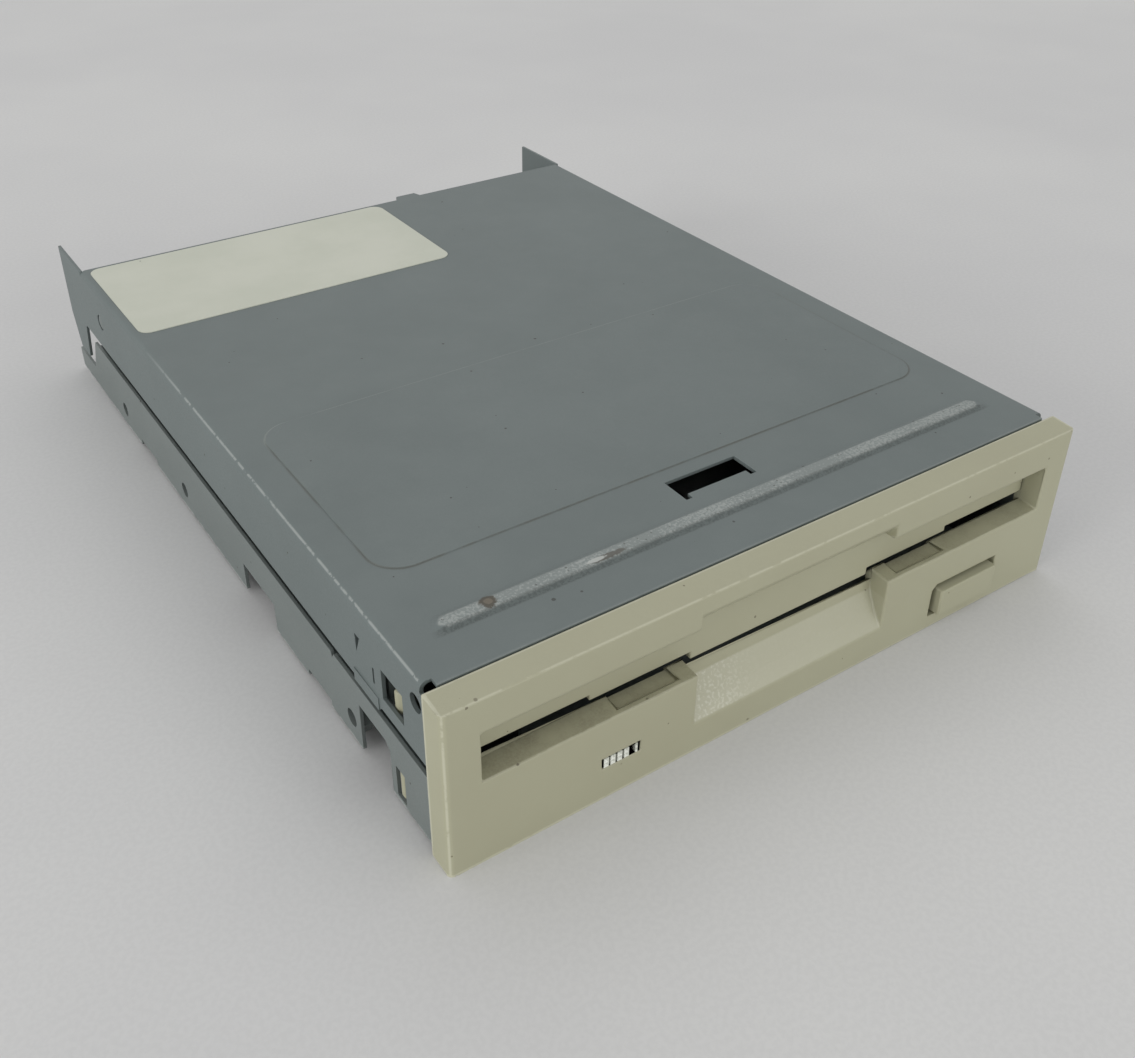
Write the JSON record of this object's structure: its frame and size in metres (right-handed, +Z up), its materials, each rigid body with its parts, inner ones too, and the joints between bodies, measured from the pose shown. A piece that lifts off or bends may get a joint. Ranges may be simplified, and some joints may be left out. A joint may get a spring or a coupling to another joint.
{
  "type": "floppy disk drive",
  "caption": "Bare internal floppy disk drive with beige bezel, dust flap, eject button and lamp, pressed steel cover and frame, and the disk loading, spindle and head mechanisms inside.",
  "frame": {"origin": "Bottom centre of the back plane of the front bezel.", "axes": "X to the right seen from the front, Y to the rear, Z up."},
  "size_m": [0.1016, 0.1434, 0.0254],
  "materials": {
    "cover_steel": "satin coated steel sheet",
    "frame_steel": "dull zinc plated steel sheet",
    "inner_steel": "zinc plated steel sheet",
    "bright_steel": "ground steel",
    "screw_steel": "plated screw",
    "motor_steel": "plated can",
    "bezel_plastic": "fine grained moulding, aged beige",
    "lens_plastic": "clear ribbed light pipe",
    "led_plastic": "tinted epoxy",
    "label_paper": "coated paper",
    "magnet_black": "bonded magnet",
    "sleeve_brass": "turned bronze",
    "copper_coils": "enamelled copper wire",
    "board_green": "solder mask",
    "black_plastic": "moulded",
    "pin_brass": "tinned pin",
    "nylon_white": "natural nylon",
    "carriage_alloy": "die-cast",
    "arm_plastic": "filled plastic",
    "head_ceramic": "lapped ceramic"
  },
  "bodies": {
    "drive": {"top_cover": "cover_steel", "blank_label": "label_paper", "chassis_frame": "frame_steel", "front_bezel": "bezel_plastic", "led_lens": "lens_plastic", "led_lamp": "led_plastic", "bearing_sleeve": "sleeve_brass", "stator_coils": "copper_coils", "motor_board": "board_green", "main_board": "board_green", "board_chips": "black_plastic", "signal_header": "black_plastic", "signal_pins": "pin_brass", "power_socket": "nylon_white", "power_pins": "pin_brass", "guide_rod": "bright_steel", "rod_clamp_front": "inner_steel", "rod_clamp_rear": "inner_steel", "stepper_bracket": "inner_steel", "stepper_motor": "motor_steel", "deck_screws": "screw_steel", "board_screws": "screw_steel", "disk_posts": "black_plastic", "switch_bodies": "black_plastic", "track_sensor": "black_plastic"},
    "slider": {"eject_button": "bezel_plastic", "eject_slider": "inner_steel"},
    "holder": {"disk_holder": "inner_steel", "guide_pins": "bright_steel", "lever_rivet": "bright_steel"},
    "flap": {"dust_flap": "bezel_plastic"},
    "lever": {"shutter_lever": "inner_steel"},
    "carriage": {"head_carriage": "carriage_alloy", "lower_head": "head_ceramic", "arm_pin": "bright_steel"},
    "arm": {"head_arm": "arm_plastic", "upper_head": "head_ceramic"},
    "screw": {"lead_screw": "bright_steel"},
    "spindle": {"spindle_rotor": "inner_steel", "rotor_magnet": "magnet_black", "spindle_hub": "bright_steel", "drive_pin": "bright_steel"},
    "plunger_a": {"plunger_left": "nylon_white"},
    "plunger_b": {"plunger_right": "nylon_white"}
  },
  "joints": [
    {"name": "eject_slide", "type": "slide", "parent": "drive", "child": "slider", "axis": [0, -1, 0], "range_m": [0, 0.0045]},
    {"name": "holder_drop", "type": "slide", "parent": "drive", "child": "holder", "axis": [0, 0, -1], "range_m": [0, 0.0024]},
    {"name": "flap_swing", "type": "hinge", "parent": "drive", "child": "flap", "pos_m": [0, 0.0002, 0.0204], "axis": [1, 0, 0], "range_deg": [0, 85], "stiffness_Nm_per_rad": 0.0005},
    {"name": "lever_swing", "type": "hinge", "parent": "holder", "child": "lever", "pos_m": [0.036, 0.092, 0.0186], "axis": [0, 0, -1], "range_deg": [0, 46.3]},
    {"name": "head_travel", "type": "slide", "parent": "drive", "child": "carriage", "axis": [0, -1, 0], "range_m": [0, 0.0148]},
    {"name": "screw_turn", "type": "hinge", "parent": "drive", "child": "screw", "pos_m": [-0.0125, 0.11, 0.009], "axis": [0, 1, 0], "range_deg": [0, 1421]},
    {"name": "arm_tilt", "type": "hinge", "parent": "carriage", "child": "arm", "pos_m": [0, 0.1155, 0.0196], "axis": [1, 0, 0], "range_deg": [0, 9]},
    {"name": "spindle_spin", "type": "hinge", "parent": "drive", "child": "spindle", "pos_m": [0, 0.052, 0.006], "axis": [0, 0, 1], "continuous": true},
    {"name": "plunger_left_push", "type": "slide", "parent": "drive", "child": "plunger_a", "axis": [0, 0, -1], "range_m": [0, 0.0008], "stiffness_N_per_m": 200},
    {"name": "plunger_right_push", "type": "slide", "parent": "drive", "child": "plunger_b", "axis": [0, 0, -1], "range_m": [0, 0.0008], "stiffness_N_per_m": 200}
  ],
  "couplings": [
    {"joint": "holder_drop", "follows": "eject_slide", "ratio": 0.5333},
    {"joint": "lever_swing", "follows": "eject_slide", "rad_per_m": 179.5},
    {"joint": "arm_tilt", "follows": "eject_slide", "rad_per_m": 34.9},
    {"joint": "screw_turn", "follows": "head_travel", "rad_per_m": 1675.5}
  ]
}
